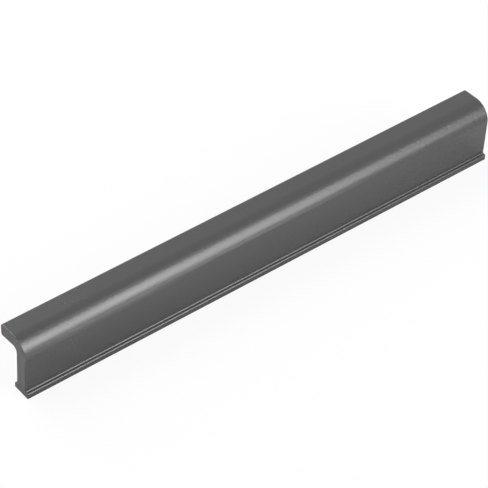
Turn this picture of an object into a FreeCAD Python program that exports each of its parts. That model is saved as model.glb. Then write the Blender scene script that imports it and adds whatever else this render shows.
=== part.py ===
import FreeCAD, Part
import math
import os
import Sketcher

# Handleless finger pull profile: one length of extruded aluminium, sawn square at both ends.
# A flat web stands on a beaded foot and bends back at the top into a lip as thick as the web.
# The length runs along X, the web's flat face looks to -Y, the lip reaches towards +Y and +Z is up.
# The origin lies on the floor under the middle of the outer box.

NODE = "finger_pull_profile"

# Millimetres, and degrees for the droop.
SIZES = [
    ("stock_length", 200.0, "length between the two sawn ends"),
    ("overall_height", 23.2, "from the foot's base to the top of the bend"),
    ("wall", 4.7, "thickness of the web and of the lip"),
    ("lip_reach", 13.5, "from the web's flat face to the lip's tip"),
    ("lip_droop", 4.0, "how far the lip falls below the horizontal towards its tip, in degrees"),
    ("inner_bend", 2.0, "radius inside the bend, where the fingertips hook in"),
    ("tip_round", 1.0, "radius of the two edges of the lip's tip"),
    ("foot_proud", 1.3, "how far the foot stands out from the web on each side"),
    ("foot_height", 2.2, "height of the foot's shoulders above its base"),
    ("foot_fillet", 0.6, "hollow radius between the web and the foot's shoulder"),
    ("foot_round", 0.6, "radius of the foot's upper edges"),
    ("cut_break", 0.2, "bevel that breaks the edges of the sawn ends"),
]

# The most of its wall that a rounding takes where two share it, as at the tip and on the foot's shoulder.
SHARE = 0.47


def held_back(rounding, wall):
    """The rounding that the sheet gives, or less where its wall has too little room."""
    return f"min(Sizes.{rounding}; Sizes.{wall} * {SHARE})"


# What each size of the section is bound to.
SECTION = {
    "wall": "Sizes.wall",
    "half_wall": "Sizes.wall / 2",
    "proud": "Sizes.foot_proud",
    "shoulder": "Sizes.foot_height",
    "fillet": held_back("foot_fillet", "foot_proud"),
    "round": held_back("foot_round", "foot_proud"),
    "inner": "Sizes.inner_bend",
    "outer": "Sizes.inner_bend + Sizes.wall",
    "centre_height": "Sizes.overall_height - Sizes.inner_bend - Sizes.wall",
    "tip": held_back("tip_round", "wall"),
    "tip_centre": "Sizes.lip_reach - " + held_back("tip_round", "wall"),
    "droop": "Sizes.lip_droop",
}

START = 1
END = 2
CENTRE = 3
AXIS_ACROSS = -1


def make_sheet(doc):
    sheet = doc.addObject("Spreadsheet::Sheet", "Sizes")
    for row, (alias, value, meaning) in enumerate(SIZES, start=1):
        sheet.set(f"A{row}", meaning)
        sheet.set(f"B{row}", str(value))
        sheet.setAlias(f"B{row}", alias)
    doc.recompute()
    return sheet


def origin_plane(body, role):
    for plane in body.Origin.OriginFeatures:
        if plane.Role == role:
            return plane
    raise RuntimeError("the body has no plane " + role)


class Outline:
    """The closed outline of the section, added piece by piece, each running on from the last."""

    def __init__(self, sketch):
        self.sketch = sketch
        self.index = {}
        self.ends = {}
        self.arcs = set()

    def line(self, name, start, end):
        segment = Part.LineSegment(FreeCAD.Vector(*start, 0), FreeCAD.Vector(*end, 0))
        self.index[name] = self.sketch.addGeometry(segment, False)
        self.ends[name] = (START, END)

    def arc(self, name, centre, radius, first_angle, last_angle):
        """An arc that turns left from its first angle to its last, or right where the last is the smaller."""
        turns_left = last_angle > first_angle
        low, high = sorted((math.radians(first_angle), math.radians(last_angle)))
        circle = Part.Circle(FreeCAD.Vector(*centre, 0), FreeCAD.Vector(0, 0, 1), radius)
        self.index[name] = self.sketch.addGeometry(Part.ArcOfCircle(circle, low, high), False)
        self.ends[name] = (START, END) if turns_left else (END, START)
        self.arcs.add(name)

    def constrain(self, kind, *values):
        places = [self.index.get(value, value) for value in values]
        return self.sketch.addConstraint(Sketcher.Constraint(kind, *places))

    def size(self, kind, size_name, *values):
        """A size held by the sheet: the constraint is made at its present value, then bound."""
        number = SECTION[size_name]
        present = float(self.sketch.evalExpression(number))
        if kind == "Angle":
            present = math.radians(present)
        constraint = self.constrain(kind, *values, present)
        self.sketch.setExpression(f"Constraints[{constraint}]", number)

    def join_up(self):
        """Each piece meets the next: smoothly at an arc, and in a sharp corner where two lines meet."""
        names = list(self.index)
        for name, following in zip(names, names[1:] + names[:1]):
            kind = "Tangent" if self.arcs & {name, following} else "Coincident"
            self.constrain(kind, name, self.ends[name][1], following, self.ends[following][0])


def draw_section(sketch):
    """The outline, drawn from the foot's base round by the back, the lip and the front."""
    size = {name: float(sketch.evalExpression(expression)) for name, expression in SECTION.items()}
    half = size["half_wall"]
    side = half + size["proud"]
    shoulder = size["shoulder"]
    fillet = size["fillet"]
    edge = size["round"]
    tip = size["tip"]
    droop = math.radians(size["droop"])
    bend = (half + size["inner"], size["centre_height"])
    tip_across = size["tip_centre"] - half

    def on_lip(distance, along):
        """A point at a distance from the bend's centre, square to the lip, and so far along the lip."""
        across = bend[0] + distance * math.sin(droop) + along * math.cos(droop)
        up = bend[1] + distance * math.cos(droop) - along * math.sin(droop)
        return across, up

    outer = size["outer"]
    inner = size["inner"]
    straight = (tip_across - bend[0] - (outer - tip) * math.sin(droop)) / math.cos(droop)
    leaves_bend = 90 - size["droop"]

    outline = Outline(sketch)
    outline.line("base", (-side, 0), (side, 0))
    outline.line("foot_back", (side, 0), (side, shoulder - edge))
    outline.arc("round_back", (side - edge, shoulder - edge), edge, 0, 90)
    outline.line("ledge_back", (side - edge, shoulder), (half + fillet, shoulder))
    outline.arc("fillet_back", (half + fillet, shoulder + fillet), fillet, 270, 180)
    outline.line("web_back", (half, shoulder + fillet), (half, bend[1]))
    outline.arc("bend_inside", bend, inner, 180, leaves_bend)
    outline.line("lip_under", on_lip(inner, 0), on_lip(inner, straight))
    outline.arc("tip_low", on_lip(inner + tip, straight), tip, -90 - size["droop"], -size["droop"])
    outline.line("tip_face", on_lip(inner + tip, straight + tip), on_lip(outer - tip, straight + tip))
    outline.arc("tip_high", on_lip(outer - tip, straight), tip, -size["droop"], leaves_bend)
    outline.line("lip_top", on_lip(outer, straight), on_lip(outer, 0))
    outline.arc("bend_outside", bend, outer, leaves_bend, 180)
    outline.line("web_front", (-half, bend[1]), (-half, shoulder + fillet))
    outline.arc("fillet_front", (-half - fillet, shoulder + fillet), fillet, 0, -90)
    outline.line("ledge_front", (-half - fillet, shoulder), (edge - side, shoulder))
    outline.arc("round_front", (edge - side, shoulder - edge), edge, 90, 180)
    outline.line("foot_front", (-side, shoulder - edge), (-side, 0))
    return outline


def constrain_section(outline):
    outline.join_up()
    for level in ("base", "ledge_back", "ledge_front"):
        outline.constrain("Horizontal", level)
    for upright in ("foot_back", "web_back", "web_front", "foot_front"):
        outline.constrain("Vertical", upright)
    outline.constrain("Parallel", "lip_under", "lip_top")
    outline.constrain("Perpendicular", "tip_face", "lip_top")
    outline.constrain("Coincident", "bend_inside", CENTRE, "bend_outside", CENTRE)
    outline.constrain("PointOnObject", "base", START, AXIS_ACROSS)

    for arc in ("round_back", "round_front"):
        outline.size("Radius", "round", arc)
    for arc in ("fillet_back", "fillet_front"):
        outline.size("Radius", "fillet", arc)
    for arc in ("tip_low", "tip_high"):
        outline.size("Radius", "tip", arc)
    outline.size("Radius", "inner", "bend_inside")

    outline.size("DistanceX", "half_wall", AXIS_ACROSS, START, "web_back", START)
    outline.size("DistanceX", "wall", "web_front", START, "web_back", END)
    outline.size("DistanceX", "proud", "web_back", START, "foot_back", END)
    outline.size("DistanceX", "proud", "foot_front", START, "web_front", END)
    outline.size("DistanceY", "shoulder", "base", END, "ledge_back", START)
    outline.size("DistanceY", "shoulder", "base", START, "ledge_front", START)
    outline.size("DistanceY", "centre_height", "base", START, "bend_inside", CENTRE)
    outline.size("DistanceX", "tip_centre", "web_front", START, "tip_high", CENTRE)
    outline.size("Angle", "droop", "lip_under", START, AXIS_ACROSS, START)


def sawn_ends(shape, length):
    """The names of the two flat faces that the saw leaves."""
    names = []
    for number, face in enumerate(shape.Faces, start=1):
        if abs(abs(face.CenterOfMass.x) - length / 2) < 1e-6:
            names.append(f"Face{number}")
    if len(names) != 2:
        raise RuntimeError("the bar should have two sawn ends")
    return names


def make_profile(doc, sheet):
    body = doc.addObject("PartDesign::Body", "FingerPullProfile")
    body.Label = NODE

    sketch = body.newObject("Sketcher::SketchObject", "Section")
    sketch.AttachmentSupport = [(origin_plane(body, "YZ_Plane"), "")]
    sketch.MapMode = "FlatFace"
    doc.recompute()
    constrain_section(draw_section(sketch))
    doc.recompute()
    if not sketch.FullyConstrained:
        raise RuntimeError("the section isn't fully constrained")

    bar = body.newObject("PartDesign::Pad", "ExtrudedBar")
    bar.Profile = sketch
    bar.Midplane = True
    bar.setExpression("Length", "Sizes.stock_length")
    doc.recompute()

    broken = body.newObject("PartDesign::Chamfer", "BrokenEdges")
    broken.Base = (bar, sawn_ends(bar.Shape, float(sheet.get("stock_length"))))
    broken.setExpression("Size", "Sizes.cut_break")
    body.Tip = broken

    # The middle of the outer box, from the foot's front to the lip's tip, comes over the origin.
    body.Placement = FreeCAD.Placement()
    body.setExpression(
        "Placement.Base.y", "(Sizes.wall + Sizes.foot_proud - Sizes.lip_reach) / 2"
    )
    doc.recompute()
    return body


def check(doc, body):
    for item in doc.Objects:
        if "Invalid" in item.State or "Error" in item.State:
            raise RuntimeError(f"{item.Label} failed: {item.State}")
    if body.Shape.isNull() or not body.Shape.isValid():
        raise RuntimeError(f"{body.Label} has no valid shape")
    if len(body.Shape.Solids) != 1:
        raise RuntimeError(f"{body.Label} should be one solid")


def main():
    doc = FreeCAD.newDocument("FingerPull")
    sheet = make_sheet(doc)
    profile = make_profile(doc, sheet)
    check(doc, profile)
    os.makedirs("parts", exist_ok=True)
    profile.Shape.exportStep(f"parts/{profile.Label}.step")
    bar = profile.Shape.Solids[0]
    box = bar.BoundBox
    print(f"{profile.Label}: {box.XLength:.2f} x {box.YLength:.2f} x {box.ZLength:.2f} mm")
    print(f"volume {bar.Volume:.1f} mm3, centre of mass {bar.CenterOfMass}")


main()
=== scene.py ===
"""Dresses one length of a handleless finger pull profile, and sets it on a plain studio floor."""

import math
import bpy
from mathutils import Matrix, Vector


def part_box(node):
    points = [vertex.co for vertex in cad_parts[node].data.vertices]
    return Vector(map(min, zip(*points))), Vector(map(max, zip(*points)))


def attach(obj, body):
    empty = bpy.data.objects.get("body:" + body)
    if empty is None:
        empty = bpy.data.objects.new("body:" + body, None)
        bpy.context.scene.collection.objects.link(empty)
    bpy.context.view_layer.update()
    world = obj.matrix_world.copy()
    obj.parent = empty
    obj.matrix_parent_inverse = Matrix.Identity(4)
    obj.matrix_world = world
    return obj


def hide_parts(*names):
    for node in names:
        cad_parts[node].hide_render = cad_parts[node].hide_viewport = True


bl_info = {
    "name": "Handleless finger pull profile",
    "version": (1, 0, 0),
    "blender": (4, 5, 0),
    "location": "View3D > Sidebar > Finger Pull",
    "description": "A coated extruded finger pull on a pale studio floor",
    "category": "Add Mesh",
}

import bmesh
import bpy
from bpy.props import FloatProperty, FloatVectorProperty, PointerProperty
from mathutils import Matrix, Vector, noise

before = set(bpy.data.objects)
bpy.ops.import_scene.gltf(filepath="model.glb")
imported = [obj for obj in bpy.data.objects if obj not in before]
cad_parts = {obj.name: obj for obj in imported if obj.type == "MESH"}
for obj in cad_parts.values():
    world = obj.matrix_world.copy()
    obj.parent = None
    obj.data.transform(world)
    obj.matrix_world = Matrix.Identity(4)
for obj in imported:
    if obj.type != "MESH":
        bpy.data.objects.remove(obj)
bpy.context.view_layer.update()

MM = 0.001
NODE = "finger_pull_profile"
BODY = "root"
BAR = "coated_bar"
FLOOR = "studio_floor"
CAMERA = "studio_camera"

# The outer box of the bar comes from the frame, so the dressed bar can't outgrow it.
LOW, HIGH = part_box(NODE)
LENGTH = (HIGH - LOW).x

# Which material each face of the bar takes.
COATED, SAWN, BROKEN = range(3)


class ProfileSizes(bpy.types.PropertyGroup):
    """The section of the bar, inside the outer box that the frame gives"""

    wall: FloatProperty(
        name="Wall", description="Thickness of the web and of the lip",
        default=4.7 * MM, min=1 * MM, subtype="DISTANCE", unit="LENGTH", precision=5,
    )
    lip_droop: FloatProperty(
        name="Lip droop", description="How far the lip falls below the horizontal towards its tip",
        default=math.radians(4), subtype="ANGLE",
    )
    inner_bend: FloatProperty(
        name="Inner bend", description="Radius inside the bend, where the fingertips hook in",
        default=2.0 * MM, min=0.1 * MM, subtype="DISTANCE", unit="LENGTH", precision=5,
    )
    tip_round: FloatProperty(
        name="Tip round", description="Radius of the two edges of the lip's tip",
        default=1.0 * MM, min=0.1 * MM, subtype="DISTANCE", unit="LENGTH", precision=5,
    )
    foot_proud: FloatProperty(
        name="Foot proud", description="How far the foot stands out from the web on each side",
        default=1.3 * MM, min=0.3 * MM, subtype="DISTANCE", unit="LENGTH", precision=5,
    )
    foot_height: FloatProperty(
        name="Foot height", description="Height of the foot's shoulders above its base",
        default=2.2 * MM, min=0.5 * MM, subtype="DISTANCE", unit="LENGTH", precision=5,
    )
    foot_round: FloatProperty(
        name="Foot round", description="Radius of the foot's upper edges and the hollows above",
        default=0.6 * MM, min=0.1 * MM, subtype="DISTANCE", unit="LENGTH", precision=5,
    )
    coat_round: FloatProperty(
        name="Coat round", description="Radius that the coat leaves on the foot's lower edges",
        default=0.12 * MM, min=0.02 * MM, subtype="DISTANCE", unit="LENGTH", precision=5,
    )
    cut_break: FloatProperty(
        name="Cut break", description="Width of the broken edge round each sawn end",
        default=0.2 * MM, min=0.02 * MM, subtype="DISTANCE", unit="LENGTH", precision=5,
    )
    break_wander: FloatProperty(
        name="Break wander", description="How much the broken edge's width wanders along it",
        default=0.3, min=0, max=0.5, subtype="FACTOR",
    )


class CoatFinish(bpy.types.PropertyGroup):
    """The dark satin coat, its grain and slow waves, its look on the cut ends with their painted
    shade, and its wear, which is partly a painted highlight on the broken edges
    """

    colour: FloatVectorProperty(
        name="Colour", description="Colour of the coat", subtype="COLOR",
        size=3, min=0, max=1, default=(0.055, 0.055, 0.055),
    )
    roughness: FloatProperty(
        name="Roughness", description="How widely the coat spreads a highlight",
        default=0.24, min=0, max=1, subtype="FACTOR",
    )
    speckle_size: FloatProperty(
        name="Speckle size", description="Distance between the grains of the coat",
        default=0.9 * MM, min=0.05 * MM, subtype="DISTANCE", unit="LENGTH", precision=5,
    )
    speckle_depth: FloatProperty(
        name="Speckle depth", description="Height of the grains of the coat",
        default=0.008 * MM, min=0, subtype="DISTANCE", unit="LENGTH", precision=6,
    )
    speckle_tone: FloatProperty(
        name="Speckle tone", description="How much the grains differ in brightness",
        default=0.04, min=0, max=1, subtype="FACTOR",
    )
    peel_size: FloatProperty(
        name="Peel size", description="Distance between the slow waves that the coat dried with",
        default=1.2 * MM, min=0.2 * MM, subtype="DISTANCE", unit="LENGTH", precision=5,
    )
    peel_depth: FloatProperty(
        name="Peel depth", description="Height of the slow waves of the coat",
        default=0.05 * MM, min=0, subtype="DISTANCE", unit="LENGTH", precision=6,
    )
    # The bare metal's brightness is partly a painted highlight along the lip's broken edge.
    bare_metal_and_glint: FloatProperty(
        name="Bare metal", description="Brightness of the metal where the coat is rubbed through",
        default=0.17, min=0, max=1, subtype="FACTOR",
    )
    # How far a cut end's colour varies: its fall towards the tips is painted shade, the rest is the
    # end's own grain and tone.
    end_tone_and_shade: FloatProperty(
        name="End tone", description="How much a cut end's brightness falls towards its tips",
        default=0.3, min=0, max=1, subtype="FACTOR",
    )
    saw_pitch: FloatProperty(
        name="Saw pitch", description="Distance between the marks of the saw on a cut end",
        default=0.35 * MM, min=0.05 * MM, subtype="DISTANCE", unit="LENGTH", precision=5,
    )


class StudioSetup(bpy.types.PropertyGroup):
    """The camera, the even light, and how much of the floor's own shading shows"""

    lens: FloatProperty(
        name="Lens", description="Focal length of the camera",
        default=192.25, min=10, unit="CAMERA",
    )
    place: FloatVectorProperty(
        name="Camera place", description="Where the camera stands", subtype="TRANSLATION",
        size=3, default=(-0.42634, -0.47928, 0.61847),
    )
    aim: FloatVectorProperty(
        name="Camera aim", description="The point that the camera looks at", subtype="TRANSLATION",
        size=3, default=(-0.00599, -0.00048, 0.0116),
    )
    roll: FloatProperty(
        name="Camera roll", description="Turn of the camera about its own line of sight",
        default=math.radians(3.915), subtype="ANGLE",
    )
    ambient: FloatProperty(
        name="Ambient", description="Strength of the even light from all round",
        default=0.06, min=0,
    )
    floor_shade: FloatProperty(
        name="Floor shade", description="How much of the floor's own shading the camera sees",
        default=0.10, min=0, max=1, subtype="FACTOR",
    )
    mirrored_shade: FloatProperty(
        name="Mirrored shade", description="How much of the floor's own shading the bar mirrors",
        default=0.9, min=0, max=1, subtype="FACTOR",
    )


class Value:
    """A node's output that takes part in Python arithmetic, each step adding a Math node."""

    def __init__(self, graph, socket):
        self.graph = graph
        self.socket = socket

    def output(self, name):
        """Another output of the same node."""
        return Value(self.graph, self.socket.node.outputs[name])

    def __add__(self, other):
        return self.graph.maths("ADD", self, other)

    __radd__ = __add__

    def __sub__(self, other):
        return self.graph.maths("SUBTRACT", self, other)

    def __rsub__(self, other):
        return self.graph.maths("SUBTRACT", other, self)

    def __mul__(self, other):
        return self.graph.maths("MULTIPLY", self, other)

    __rmul__ = __mul__


class Graph:
    """The nodes of one material or of the world."""

    def __init__(self, owner):
        owner.use_nodes = True
        self.tree = owner.node_tree
        self.tree.nodes.clear()

    def node(self, kind, settings=None, sockets=None, output=0):
        """A node of a kind: its settings come first, then the values or links of its sockets."""
        made = self.tree.nodes.new(kind)
        for name, value in (settings or {}).items():
            setattr(made, name, value)
        for name, value in (sockets or {}).items():
            if isinstance(value, Value):
                self.tree.links.new(value.socket, made.inputs[name])
            else:
                made.inputs[name].default_value = value
        return Value(self, made.outputs[output]) if made.outputs else None

    def maths(self, operation, first, second=0.0, **settings):
        """A Math node on one or two values or numbers."""
        settings = {"operation": operation, **settings}
        return self.node("ShaderNodeMath", settings, {0: first, 1: second})


def new_material(name):
    material = bpy.data.materials.new(name)
    return material, Graph(material)


def grey(level):
    return (level, level, level, 1.0)


def scaled(colour, factor):
    return tuple(channel * factor for channel in colour) + (1.0,)


def object_place(graph):
    """Where a point of the surface lies, in the object's own metres."""
    return graph.node("ShaderNodeTexCoord", None, None, "Object")


def lumps(graph, place, size, detail=0.0):
    """Even noise about 0.5, whose lumps are about a size apart."""
    sockets = {"Vector": place, "Scale": 1 / size, "Detail": detail}
    return graph.node("ShaderNodeTexNoise", {"noise_dimensions": "3D"}, sockets, "Fac")


def distance(graph, place, point):
    """How far a place lies from a point."""
    settings = {"operation": "DISTANCE"}
    return graph.node("ShaderNodeVectorMath", settings, {0: place, 1: point}, "Value")


def rise(graph, value, low, high):
    """0 up to a low value and 1 from a high one, with an even rise between them."""
    sockets = {"Value": value, "From Min": low, "From Max": high}
    return graph.node("ShaderNodeMapRange", None, sockets, "Result")


def mixed_colour(graph, share, first, second):
    """The first colour where the share is 0, and the second where it is 1."""
    sockets = {"Factor": share, "A": first, "B": second}
    return graph.node("ShaderNodeMix", {"data_type": "RGBA"}, sockets, "Result")


def surface(graph, height, sockets):
    """Ends a material with its surface, which a height in metres bumps."""
    normal = graph.node("ShaderNodeBump", None, {"Height": height, "Distance": 1.0}, "Normal")
    sockets = {**sockets, "Normal": normal}
    shader = graph.node("ShaderNodeBsdfPrincipled", None, sockets, "BSDF")
    graph.node("ShaderNodeOutputMaterial", None, {"Surface": shader})


def coat_surface(graph, finish, spread, tone, height, roughness):
    """The coat's surface: its tone moves the colour up and down by as much as the spread."""
    darker = scaled(finish.colour, 1 - spread)
    lighter = scaled(finish.colour, 1 + spread)
    colour = mixed_colour(graph, tone, darker, lighter)
    surface(graph, height, {"Base Color": colour, "Roughness": roughness})


# How finely the grain and the waves of the coat are broken up.
GRAIN_DETAIL = 1.0
PEEL_DETAIL = 1.0

# Slow clouds in the coat, and how much the grain and the clouds move its roughness and its tone.
CLOUD_SIZE = 14 * MM
GRAIN_ROUGHNESS = 0.08
CLOUD_ROUGHNESS = 0.06
GRAIN_TONE = 0.8
CLOUD_TONE = 0.2


def satin_coat(finish):
    """The long faces: an even coat with a fine grain, slow waves and slower, faint clouds."""
    material, graph = new_material("satin_coat")
    place = object_place(graph)
    grain = lumps(graph, place, finish.speckle_size, GRAIN_DETAIL)
    peel = lumps(graph, place, finish.peel_size, PEEL_DETAIL)
    cloud = lumps(graph, place, CLOUD_SIZE)
    height = grain * finish.speckle_depth + peel * finish.peel_depth
    uneven = GRAIN_ROUGHNESS * (grain - 0.5) + CLOUD_ROUGHNESS * (cloud - 0.5)
    tone = GRAIN_TONE * grain + CLOUD_TONE * cloud
    coat_surface(graph, finish, finish.speckle_tone, tone, height, finish.roughness + uneven)
    return material


# The saw's marks are arcs about a point below and behind the bar. They stray a little, over a
# few millimetres, and make the coat rougher where they stand up.
SAW_CENTRE = (0.0, 90 * MM, -60 * MM)
SAW_STRAY = 0.6 * MM
SAW_STRAY_SIZE = 4 * MM
SAW_DEPTH = 0.0012 * MM
SAW_ROUGHNESS = 0.04

# How much rougher than the long faces a cut end is.
END_ROUGHNESS = 0.08

# The tone of a cut end, which painted shade darkens from a first distance from its middle to a
# second one, towards the lip's tip and the foot, and what the grain and the straying add to it.
END_MIDDLE = Vector((0.0, LOW.y + 4 * MM, LOW.z + 13 * MM))
END_SHADE_FIRST = 5 * MM
END_SHADE_LAST = 14 * MM
END_LEVEL = 0.5
END_PAINTED_SHADE = 0.6
END_GRAIN = 0.15
END_STRAY = 0.1


def sawn_end(finish):
    """The cut faces: the same coat over the faint arcs of the saw, with painted shade darkening
    them towards the lip's tip and the foot.
    """
    material, graph = new_material("sawn_end")
    place = object_place(graph)
    grain = lumps(graph, place, finish.speckle_size, GRAIN_DETAIL)
    stray = lumps(graph, place, SAW_STRAY_SIZE)
    flatten = {0: place, 1: (0.0, 1.0, 1.0)}
    across = graph.node("ShaderNodeVectorMath", {"operation": "MULTIPLY"}, flatten, "Vector")
    reach = distance(graph, across, SAW_CENTRE) + stray * SAW_STRAY
    marks = graph.maths("SINE", reach * (math.tau / finish.saw_pitch))
    height = grain * finish.speckle_depth + marks * SAW_DEPTH
    # Painted shade: the cut end darkens between the two distances from its middle, towards the
    # lip's tip and the foot.
    fall = rise(graph, distance(graph, across, END_MIDDLE), END_SHADE_FIRST, END_SHADE_LAST)
    tone = END_LEVEL + END_GRAIN * grain + END_STRAY * stray - END_PAINTED_SHADE * fall
    roughness = finish.roughness + END_ROUGHNESS + SAW_ROUGHNESS * marks
    coat_surface(graph, finish, finish.end_tone_and_shade, tone, height, roughness)
    return material


# The heights between which the wear of the broken edges sets in, up on the lip, where the light
# rubbed metal is also a painted highlight along the edge, the size of its patches, the level of its
# noise up to which the coat holds, and how sharply a patch ends.
WEAR_AND_GLINT_LOW = LOW.z + 12 * MM
WEAR_AND_GLINT_HIGH = LOW.z + 19 * MM
WEAR_AND_GLINT_SIZE = 0.9 * MM
WEAR_AND_GLINT_DETAIL = 2.0
WEAR_AND_GLINT_HOLDS = 0.35
WEAR_AND_GLINT_SHARPNESS = 3.0

# A small knock on the front edge of the near end, where the bend runs into the web.
KNOCK = Vector((LOW.x, LOW.y + 1.35 * MM, LOW.z + 17.0 * MM))
KNOCK_SIZE = 0.35 * MM

# The thin coat of the broken edges: how much lighter, rougher and more deeply grained than the long
# faces it is, and how metallic it gets where it is rubbed through. Its lighter colour and the
# rubbed metal are partly a painted highlight along the edge.
THIN_COAT_AND_GLINT_COLOUR = 1.1
THIN_ROUGHNESS = 0.05
THIN_GRAIN = 2
RUBBED_METALLIC = 0.5


def broken_edge(finish):
    """The narrow band round a cut: a thin coat, rubbed through up on the lip, where hands reach,
    and lighter in part as a painted highlight along the edge.
    """
    material, graph = new_material("broken_edge")
    place = object_place(graph)
    height = graph.node("ShaderNodeSeparateXYZ", None, {"Vector": place}, "Z")
    reached = rise(graph, height, WEAR_AND_GLINT_LOW, WEAR_AND_GLINT_HIGH)
    from_knock = distance(graph, place, KNOCK) * (1 / KNOCK_SIZE)
    knocked = graph.maths("SUBTRACT", 1.0, from_knock, use_clamp=True)
    wear = lumps(graph, place, WEAR_AND_GLINT_SIZE, WEAR_AND_GLINT_DETAIL)
    # Wear up on the lip, which also paints a highlight along the edge.
    worn_and_glint = (wear - WEAR_AND_GLINT_HOLDS) * reached * WEAR_AND_GLINT_SHARPNESS
    rubbed = graph.maths("ADD", worn_and_glint, knocked, use_clamp=True)
    grain = lumps(graph, place, finish.speckle_size, GRAIN_DETAIL)
    # The thin coat's lighter colour is partly a painted highlight along the edge.
    thin = scaled(finish.colour, THIN_COAT_AND_GLINT_COLOUR)
    surface(graph, grain * (THIN_GRAIN * finish.speckle_depth), {
        "Base Color": mixed_colour(graph, rubbed, thin, grey(finish.bare_metal_and_glint)),
        "Metallic": RUBBED_METALLIC * rubbed,
        "Roughness": finish.roughness + THIN_ROUGHNESS,
    })
    return material


# How finely the bar is divided: the largest step round an arc and the fewest steps that an arc
# has, the longest step along a flat, and the longest one along the bar.
ARC_STEP = math.radians(3)
ARC_STEPS = 3
FLAT_STEP = 0.6 * MM
RING_STEP = 10 * MM

# The largest round of the foot's edges, as a share of how far it stands proud, so that each
# round and the hollow above it fit side by side.
FOOT_ROUND_SHARE = 0.47

# The least round of the foot's lower edges, as a multiple of how far a ring is drawn in.
INSET_ROUND = 1.5


def arc(centre, radius, first, last):
    """Points round a centre between two angles, in degrees from +Y towards +Z."""
    turn = math.radians(last - first)
    steps = max(ARC_STEPS, math.ceil(abs(turn) / ARC_STEP))
    points = []
    for step in range(steps + 1):
        angle = math.radians(first) + turn * step / steps
        points.append(centre + radius * Vector((math.cos(angle), math.sin(angle))))
    return points


def section_outline(sizes, inset=0.0):
    """The section, drawn in by an inset.

    Its points run across (Y) and up (Z), anticlockwise from the foot's lower back edge.
    """
    front = LOW.y + sizes.foot_proud
    back = front + sizes.wall
    foot_back = back + sizes.foot_proud
    shoulder = LOW.z + sizes.foot_height
    edge = min(sizes.foot_round, sizes.foot_proud * FOOT_ROUND_SHARE)
    corner = max(sizes.coat_round, INSET_ROUND * inset)
    tip = sizes.tip_round
    inner = sizes.inner_bend
    outer = inner + sizes.wall
    bend = Vector((back + inner, HIGH.z - outer))
    droop = sizes.lip_droop
    outward = Vector((math.sin(droop), math.cos(droop)))
    along = Vector((math.cos(droop), -math.sin(droop)))
    straight = (HIGH.y - tip - bend.x - (outer - tip) * math.sin(droop)) / math.cos(droop)
    tip_low = bend + outward * (inner + tip) + along * straight
    tip_high = bend + outward * (outer - tip) + along * straight
    fall = math.degrees(droop)

    points = arc(Vector((foot_back - corner, LOW.z + corner)), corner - inset, -90, 0)
    points += arc(Vector((foot_back - edge, shoulder - edge)), edge - inset, 0, 90)
    points += arc(Vector((back + edge, shoulder + edge)), edge + inset, 270, 180)
    points += arc(bend, inner + inset, 180, 90 - fall)
    points += arc(tip_low, tip - inset, -90 - fall, -fall)
    points += arc(tip_high, tip - inset, -fall, 90 - fall)
    points += arc(bend, outer - inset, 90 - fall, 180)
    points += arc(Vector((front - edge, shoulder + edge)), edge + inset, 0, -90)
    points += arc(Vector((LOW.y + edge, shoulder - edge)), edge - inset, 90, 180)
    points += arc(Vector((LOW.y + corner, LOW.z + corner)), corner - inset, 180, 270)
    return points


def divided(points, counts=None):
    """The closed outline with its sides divided, and into how many parts each one is.

    The parts of a flat are short, so that an arc's smooth shading ends close to the arc.
    """
    sides = list(zip(points, points[1:] + points[:1]))
    if counts is None:
        counts = [max(1, math.ceil((end - start).length / FLAT_STEP)) for start, end in sides]
    divisions = []
    for (start, end), count in zip(sides, counts):
        divisions += [start.lerp(end, step / count) for step in range(count)]
    return divisions, counts


# Each of the two corners of a broken edge turns over a share of the edge's width. A ring a
# further share inwards keeps the band between them flat, and one a little further outwards
# keeps the face beside the edge flat.
CORNER_SHARE = 0.15
BAND_SHARE = 0.1
BESIDE = 0.15 * MM

# How far apart the wanderings of the broken edge are, and how far apart in their noise the two
# ends are read, so that they differ.
WANDER_SIZE = 1.3 * MM
WANDER_APART = 7.0


def end_rings(cut_break):
    """The rings at a sawn end.

    Each has its distance from the end, how far it is drawn in and the kind of the faces after it.
    """
    lap = CORNER_SHARE * cut_break
    slant = lap / math.sqrt(2)
    lean = slant + BAND_SHARE * cut_break
    return (
        (0.0, cut_break + lap + BESIDE, SAWN),
        (0.0, cut_break + lap, BROKEN),
        (slant, cut_break - slant, BROKEN),
        (lean, cut_break - lean, BROKEN),
        (cut_break - lean, lean, BROKEN),
        (cut_break - slant, slant, BROKEN),
        (cut_break + lap, 0.0, COATED),
        (cut_break + lap + BESIDE, 0.0, COATED),
    )


def end_ring(sizes, side, away, inset):
    """One ring of points at a side's end, its distances wandering a little round the outline."""
    outline, counts = divided(section_outline(sizes))
    drawn, _ = divided(section_outline(sizes, inset), counts)
    points = []
    for here, moved in zip(outline, drawn):
        place = Vector((WANDER_APART * side, here.x, here.y)) / WANDER_SIZE
        share = 1 + sizes.break_wander * noise.noise(place)
        across = here.lerp(moved, share)
        points.append((side * (LENGTH / 2 - away * share), across.x, across.y))
    return points


def bar_rings(sizes):
    """The rings of the section along the bar, each with the kind of the faces after it."""
    ends = end_rings(sizes.cut_break)
    rings = [(end_ring(sizes, -1, away, inset), kind) for away, inset, kind in ends]
    outline, _ = divided(section_outline(sizes))
    steps = math.ceil(LENGTH / RING_STEP)
    for step in range(1, steps):
        place = LENGTH * (step / steps - 0.5)
        rings.append(([(place, point.x, point.y) for point in outline], COATED))
    # In reverse, the faces after a ring are those that came before it, so the kinds move by one.
    kinds = [kind for _, _, kind in ends][-2::-1] + [SAWN]
    for (away, inset, _), kind in zip(reversed(ends), kinds):
        rings.append((end_ring(sizes, 1, away, inset), kind))
    return rings


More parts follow.
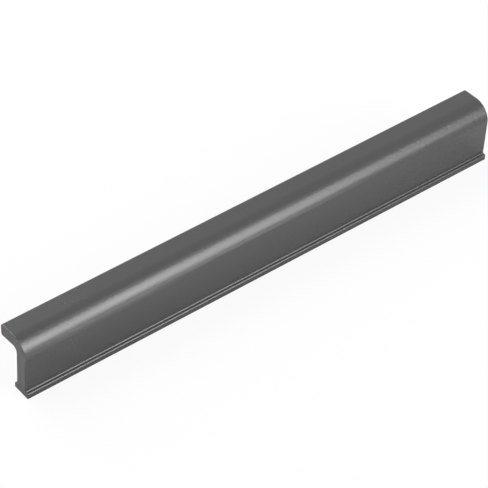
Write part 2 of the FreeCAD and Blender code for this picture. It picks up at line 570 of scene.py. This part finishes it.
def bar_mesh(sizes):
    """The whole bar: its rings, joined by quads and closed by the two cut faces."""
    rings = bar_rings(sizes)
    shape = bmesh.new()
    loops = [[shape.verts.new(point) for point in points] for points, _ in rings]
    for (_, kind), here, following in zip(rings, loops, loops[1:]):
        for index, vert in enumerate(here):
            after = (index + 1) % len(here)
            face = shape.faces.new((vert, here[after], following[after], following[index]))
            face.material_index = kind
    for loop in (reversed(loops[0]), loops[-1]):
        shape.faces.new(loop).material_index = SAWN
    bmesh.ops.recalc_face_normals(shape, faces=shape.faces)
    mesh = bpy.data.meshes.new(BAR)
    shape.to_mesh(mesh)
    shape.free()
    mesh.shade_smooth()
    return mesh


class FINGERPULL_OT_bar(bpy.types.Operator):
    """Makes the coated bar in place of the plain one"""

    bl_idname = "fingerpull.bar"
    bl_label = "Make the Bar"

    def execute(self, context):
        bar = bpy.data.objects.new(BAR, bar_mesh(context.scene.finger_pull_sizes))
        context.scene.collection.objects.link(bar)
        finish = context.scene.finger_pull_coat
        for material in (satin_coat(finish), sawn_end(finish), broken_edge(finish)):
            bar.data.materials.append(material)
        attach(bar, BODY)
        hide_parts(NODE)
        return {"FINISHED"}


# Each softbox: its azimuth from the front towards +X and its elevation, in degrees, its width
# and height in metres, its turn about its own axis in degrees, and its radiance, where 1 shows
# as white. All stand at one distance from the middle of the bar.
SOFTBOXES = {
    "key_softbox": (25, 28, (0.50, 1.12), -10, 4.35),
    "key_middle": (19, 29, (0.40, 0.44), -10, 3.4),
    "key_wide": (32, 28, (0.62, 0.72), -10, 1.8),
    "right_softbox": (38, 52, (0.50, 0.60), 0, 1.4),
    "left_softbox": (270, 18, (0.60, 0.60), 0, 1.9),
    "back_left_softbox": (225, 50, (0.60, 0.60), 0, 3.5),
    "back_softbox": (184, 34, (0.60, 1.20), 0, 5.4),
}
SOFTBOX_DISTANCE = 1.2

# Each light panel, which lies just above the floor in front of the bar: where it begins and
# ends in X and in Y, in metres, and its radiance.
PANELS = {
    "close_panel": ((-0.10, -0.02), (-0.085, -0.03), 0.7),
    "near_panel": ((-0.045, 0.10), (-0.20, -0.085), 3.6),
    "far_panel": ((-0.08, 0.02), (-0.50, -0.20), 3.0),
}
PANEL_HEIGHT = 1 * MM

# The strength at which a glow shows as white.
WHITE = 1.0

# How far the floor reaches on each side, how far it lies under the foot, and how pale it is.
FLOOR_REACH = 3.0
FLOOR_GAP = 0.02 * MM
FLOOR_PAPER = 0.9

# The width of the camera's sensor in millimetres, and the nearest that the camera sees.
SENSOR_WIDTH = 36.0
NEAREST = 10 * MM


def facing(place, aim, roll=0.0):
    """The turn of a camera or a light that looks from a place at an aim, rolled on that line."""
    turn = (Vector(aim) - Vector(place)).to_track_quat("-Z", "Y").to_matrix()
    return (turn @ Matrix.Rotation(roll, 3, "Z")).to_quaternion()


def towards(azimuth, elevation):
    """The direction from the bar at an azimuth from the front and an elevation, in degrees."""
    turn, lift = math.radians(azimuth), math.radians(elevation)
    level = math.cos(lift)
    return Vector((math.sin(turn) * level, -math.cos(turn) * level, math.sin(lift)))


def make_light(name, span, radiance, place, turn):
    """A rectangular light of an even radiance, which the camera doesn't see."""
    lamp = bpy.data.lights.new(name, "AREA")
    lamp.shape = "RECTANGLE"
    lamp.size, lamp.size_y = span
    # An even radiance sends out pi times as much power from each square metre.
    lamp.energy = math.pi * span[0] * span[1] * radiance
    light = bpy.data.objects.new(name, lamp)
    light.location = place
    light.rotation_mode = "QUATERNION"
    light.rotation_quaternion = turn
    light.visible_camera = False
    bpy.context.scene.collection.objects.link(light)


def make_softbox(name, azimuth, elevation, span, roll, radiance):
    """A softbox that faces the middle of the bar."""
    middle = (LOW + HIGH) / 2
    place = middle + SOFTBOX_DISTANCE * towards(azimuth, elevation)
    make_light(name, span, radiance, place, facing(place, middle, math.radians(roll)))


def make_panel(name, across, along, radiance):
    """A light panel that lies level and faces up."""
    span = (across[1] - across[0], along[1] - along[0])
    place = Vector((sum(across) / 2, sum(along) / 2, PANEL_HEIGHT))
    make_light(name, span, radiance, place, facing(place, place + Vector((0, 0, 1))))


def ray_kinds(graph):
    """1 for the camera's own rays, and 1 for those that a glossy or clear surface sends on."""
    camera = graph.node("ShaderNodeLightPath", output="Is Camera Ray")
    glossy = camera.output("Is Glossy Ray")
    clear = camera.output("Is Transmission Ray")
    return camera, graph.maths("ADD", glossy, clear, use_clamp=True)


def make_world(studio):
    """A surround that is white where it is seen or mirrored, and faint as a light."""
    world = bpy.data.worlds.new("studio_world")
    graph = Graph(world)
    seen, mirrored = ray_kinds(graph)
    dim = {"Color": grey(1), "Strength": studio.ambient}
    even = graph.node("ShaderNodeBackground", None, dim)
    white = graph.node("ShaderNodeBackground", None, {"Color": grey(1), "Strength": WHITE})
    mixed = graph.node("ShaderNodeMixShader", None, {0: seen + mirrored, 1: even, 2: white})
    graph.node("ShaderNodeOutputWorld", None, {"Surface": mixed})
    bpy.context.scene.world = world


def floor_paper(studio):
    """White paper that keeps a share of its own shading, and is clear from below."""
    material, graph = new_material("floor_paper")
    paper = graph.node("ShaderNodeBsdfDiffuse", None, {"Color": grey(FLOOR_PAPER)})
    white = graph.node("ShaderNodeEmission", None, {"Color": grey(1), "Strength": WHITE})
    seen, mirrored = ray_kinds(graph)
    share = seen * (1 - studio.floor_shade) + mirrored * (1 - studio.mirrored_shade)
    top = graph.node("ShaderNodeMixShader", None, {0: share, 1: paper, 2: white})
    clear = graph.node("ShaderNodeBsdfTransparent")
    below = graph.node("ShaderNodeNewGeometry", None, None, "Backfacing")
    whole = graph.node("ShaderNodeMixShader", None, {0: below, 1: top, 2: clear})
    graph.node("ShaderNodeOutputMaterial", None, {"Surface": whole})
    return material


def make_floor(studio):
    """A pale floor just under the foot. From below it never hides the foot's base."""
    low, high = -FLOOR_REACH, FLOOR_REACH
    corners = [(x, y, -FLOOR_GAP) for x, y in ((low, low), (high, low), (high, high), (low, high))]
    mesh = bpy.data.meshes.new(FLOOR)
    mesh.from_pydata(corners, [], [(0, 1, 2, 3)])
    mesh.materials.append(floor_paper(studio))
    floor = bpy.data.objects.new(FLOOR, mesh)
    bpy.context.scene.collection.objects.link(floor)


def make_camera(studio):
    lens = bpy.data.cameras.new(CAMERA)
    lens.lens = studio.lens
    lens.sensor_width = SENSOR_WIDTH
    lens.clip_start = NEAREST
    camera = bpy.data.objects.new(CAMERA, lens)
    camera.location = studio.place
    camera.rotation_mode = "QUATERNION"
    camera.rotation_quaternion = facing(studio.place, studio.aim, studio.roll)
    bpy.context.scene.collection.objects.link(camera)
    bpy.context.scene.camera = camera


class FINGERPULL_OT_stage(bpy.types.Operator):
    """Makes the floor, the lights, the world and the camera"""

    bl_idname = "fingerpull.stage"
    bl_label = "Set the Stage"

    def execute(self, context):
        studio = context.scene.finger_pull_studio
        make_world(studio)
        make_floor(studio)
        for name, settings in SOFTBOXES.items():
            make_softbox(name, *settings)
        for name, settings in PANELS.items():
            make_panel(name, *settings)
        make_camera(studio)
        context.scene.view_settings.view_transform = "Standard"
        return {"FINISHED"}


class VIEW3D_PT_finger_pull(bpy.types.Panel):
    """Lists the sizes, the finish and the stage, with the buttons that make them"""

    bl_label = "Finger Pull"
    bl_space_type = "VIEW_3D"
    bl_region_type = "UI"
    bl_category = "Finger Pull"

    def draw(self, context):
        scene = context.scene
        for group, operator in (
            (scene.finger_pull_sizes, None),
            (scene.finger_pull_coat, FINGERPULL_OT_bar.bl_idname),
            (scene.finger_pull_studio, FINGERPULL_OT_stage.bl_idname),
        ):
            column = self.layout.column()
            for name in group.__annotations__:
                column.prop(group, name)
            if operator:
                column.operator(operator)


CLASSES = (
    ProfileSizes,
    CoatFinish,
    StudioSetup,
    FINGERPULL_OT_bar,
    FINGERPULL_OT_stage,
    VIEW3D_PT_finger_pull,
)


def register():
    for kind in CLASSES:
        bpy.utils.register_class(kind)
    bpy.types.Scene.finger_pull_sizes = PointerProperty(type=ProfileSizes)
    bpy.types.Scene.finger_pull_coat = PointerProperty(type=CoatFinish)
    bpy.types.Scene.finger_pull_studio = PointerProperty(type=StudioSetup)


def unregister():
    del bpy.types.Scene.finger_pull_sizes
    del bpy.types.Scene.finger_pull_coat
    del bpy.types.Scene.finger_pull_studio
    for kind in reversed(CLASSES):
        bpy.utils.unregister_class(kind)


def main():
    register()
    bpy.ops.fingerpull.bar()
    bpy.ops.fingerpull.stage()


if __name__ == "__main__":
    main()
